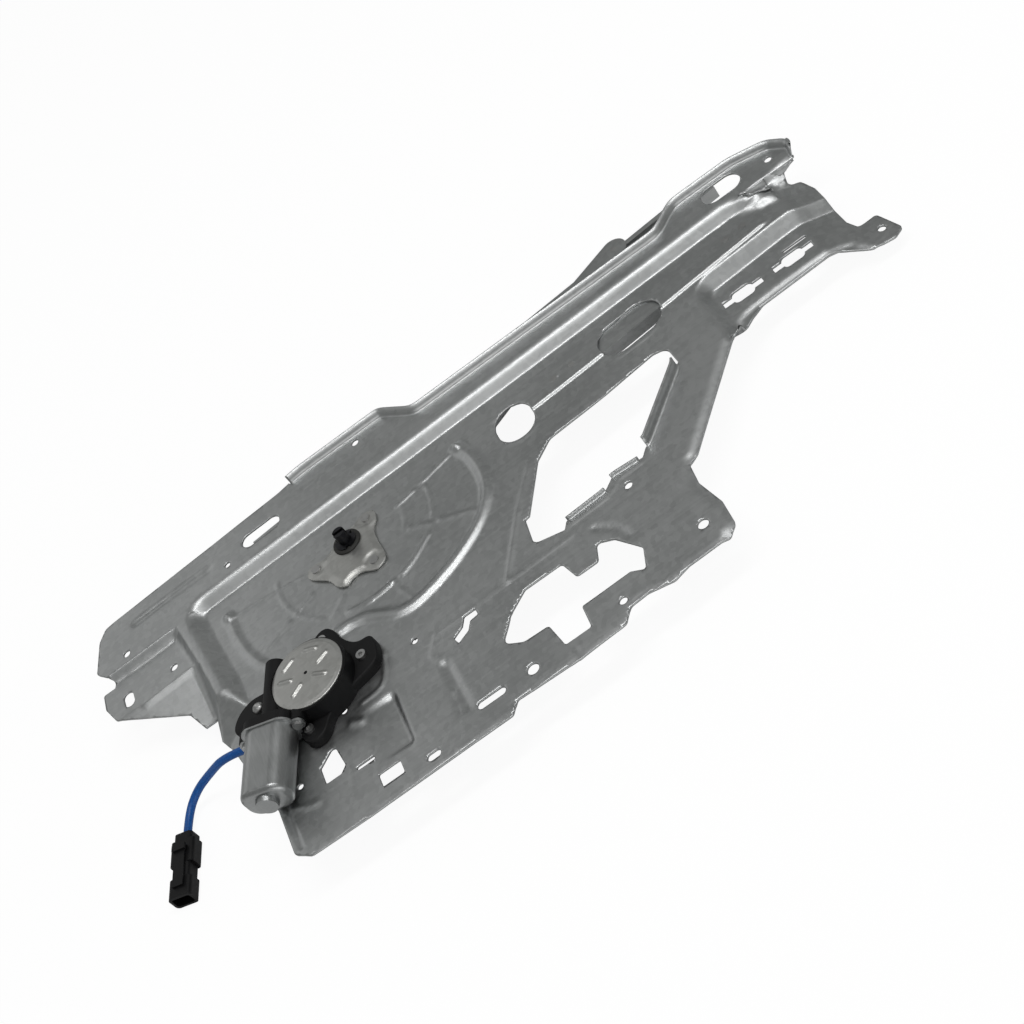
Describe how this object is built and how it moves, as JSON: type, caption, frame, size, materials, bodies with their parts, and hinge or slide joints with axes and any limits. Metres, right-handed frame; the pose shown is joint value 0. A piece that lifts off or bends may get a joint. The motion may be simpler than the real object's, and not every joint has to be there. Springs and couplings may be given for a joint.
{
  "type": "window regulator",
  "caption": "Door window regulator: pressed carrier plate with a gearmotor, toothed sector, crossing lift arms, guide rail and sash rail.",
  "frame": {"origin": "middle of the footprint of everything but the lead, at the lowest point", "axes": "+X along the plate towards the wing, +Y up the door towards the lipped edge, +Z out of the plate's motor side"},
  "size_m": [0.6956, 0.3922, 0.065],
  "materials": {
    "galvanised": "bright galvanised pressed sheet",
    "plated_parts": "zinc plated",
    "dark_steel": "oiled dark steel",
    "can_steel": "satin zinc plated drawn can",
    "black_plastic": "moulded glass filled nylon",
    "white_nylon": "natural acetal",
    "black_rubber": "moulded rubber",
    "blue_sleeve": "blue smooth sleeve",
    "ferrite": "ferrite and laminated iron",
    "copper": "copper bars and bronze bearing"
  },
  "bodies": {
    "plate": {"carrier_plate": "galvanised", "pivot_bracket": "plated_parts", "bracket_rivets": "plated_parts", "guide_rail": "galvanised", "rail_rivets": "plated_parts", "gear_housing": "black_plastic", "gear_cover": "plated_parts", "motor_can": "can_steel", "can_screws": "plated_parts", "mounting_screws": "plated_parts", "magnets": "ferrite", "brush_holder": "black_plastic", "brushes": "copper", "rear_bearing": "copper", "lead": "blue_sleeve", "lead_grommet": "black_rubber", "connector_body": "black_plastic", "connector_latch": "black_plastic"},
    "lift": {"pivot_shaft": "dark_steel", "shaft_clip": "dark_steel", "sector_gear": "galvanised", "lift_arm": "galvanised", "arm_rivets": "plated_parts", "lift_stud": "plated_parts"},
    "crossing": {"cross_pin": "plated_parts", "cross_arm_lower": "galvanised", "cross_arm_upper": "galvanised", "lower_stud": "plated_parts", "upper_stud": "plated_parts"},
    "sash": {"sash_rail": "galvanised"},
    "lower_roller": {"lower_roller": "white_nylon"},
    "upper_roller": {"upper_roller": "white_nylon"},
    "lift_roller": {"lift_roller": "white_nylon"},
    "output": {"output_shaft": "dark_steel", "pinion": "dark_steel", "worm_wheel": "white_nylon", "damper": "black_rubber"},
    "armature": {"armature_shaft": "dark_steel", "armature_core": "ferrite", "commutator": "copper"}
  },
  "joints": [
    {"name": "lift_hinge", "type": "hinge", "parent": "plate", "child": "lift", "pos_m": [-0.11819, 0.04793, 0.0295], "axis": [0, 0, 1], "range_deg": [-51.5, 26]},
    {"name": "cross_hinge", "type": "hinge", "parent": "lift", "child": "crossing", "pos_m": [0.0268, 0.11294, 0.0175], "axis": [0, 0, 1], "range_deg": [-53, 104]},
    {"name": "sash_hinge", "type": "hinge", "parent": "crossing", "child": "sash", "pos_m": [-0.1278, 0.14963, 0.0055], "axis": [0, 0, 1], "range_deg": [-52.5, 27]},
    {"name": "lower_roller_spin", "type": "hinge", "parent": "crossing", "child": "lower_roller", "pos_m": [0.18141, 0.07625, 0.0275], "axis": [0, 0, 1], "continuous": true},
    {"name": "upper_roller_spin", "type": "hinge", "parent": "crossing", "child": "upper_roller", "pos_m": [-0.1278, 0.14963, 0.0055], "axis": [0, 0, 1], "continuous": true},
    {"name": "lift_roller_spin", "type": "hinge", "parent": "lift", "child": "lift_roller", "pos_m": [0.1718, 0.17795, 0.0055], "axis": [0, 0, 1], "continuous": true},
    {"name": "output_spin", "type": "hinge", "parent": "plate", "child": "output", "pos_m": [-0.17808, -0.06886, 0.0395], "axis": [0, 0, 1], "range_deg": [-300, 593]},
    {"name": "armature_spin", "type": "hinge", "parent": "plate", "child": "armature", "pos_m": [-0.20721, -0.05826, 0.0505], "axis": [-0.342, -0.9397, 0], "continuous": true}
  ],
  "couplings": [
    {"joint": "cross_hinge", "follows": "lift_hinge", "ratio": -2},
    {"joint": "sash_hinge", "follows": "lift_hinge", "ratio": 1},
    {"joint": "output_spin", "follows": "lift_hinge", "ratio": -11.5}
  ]
}
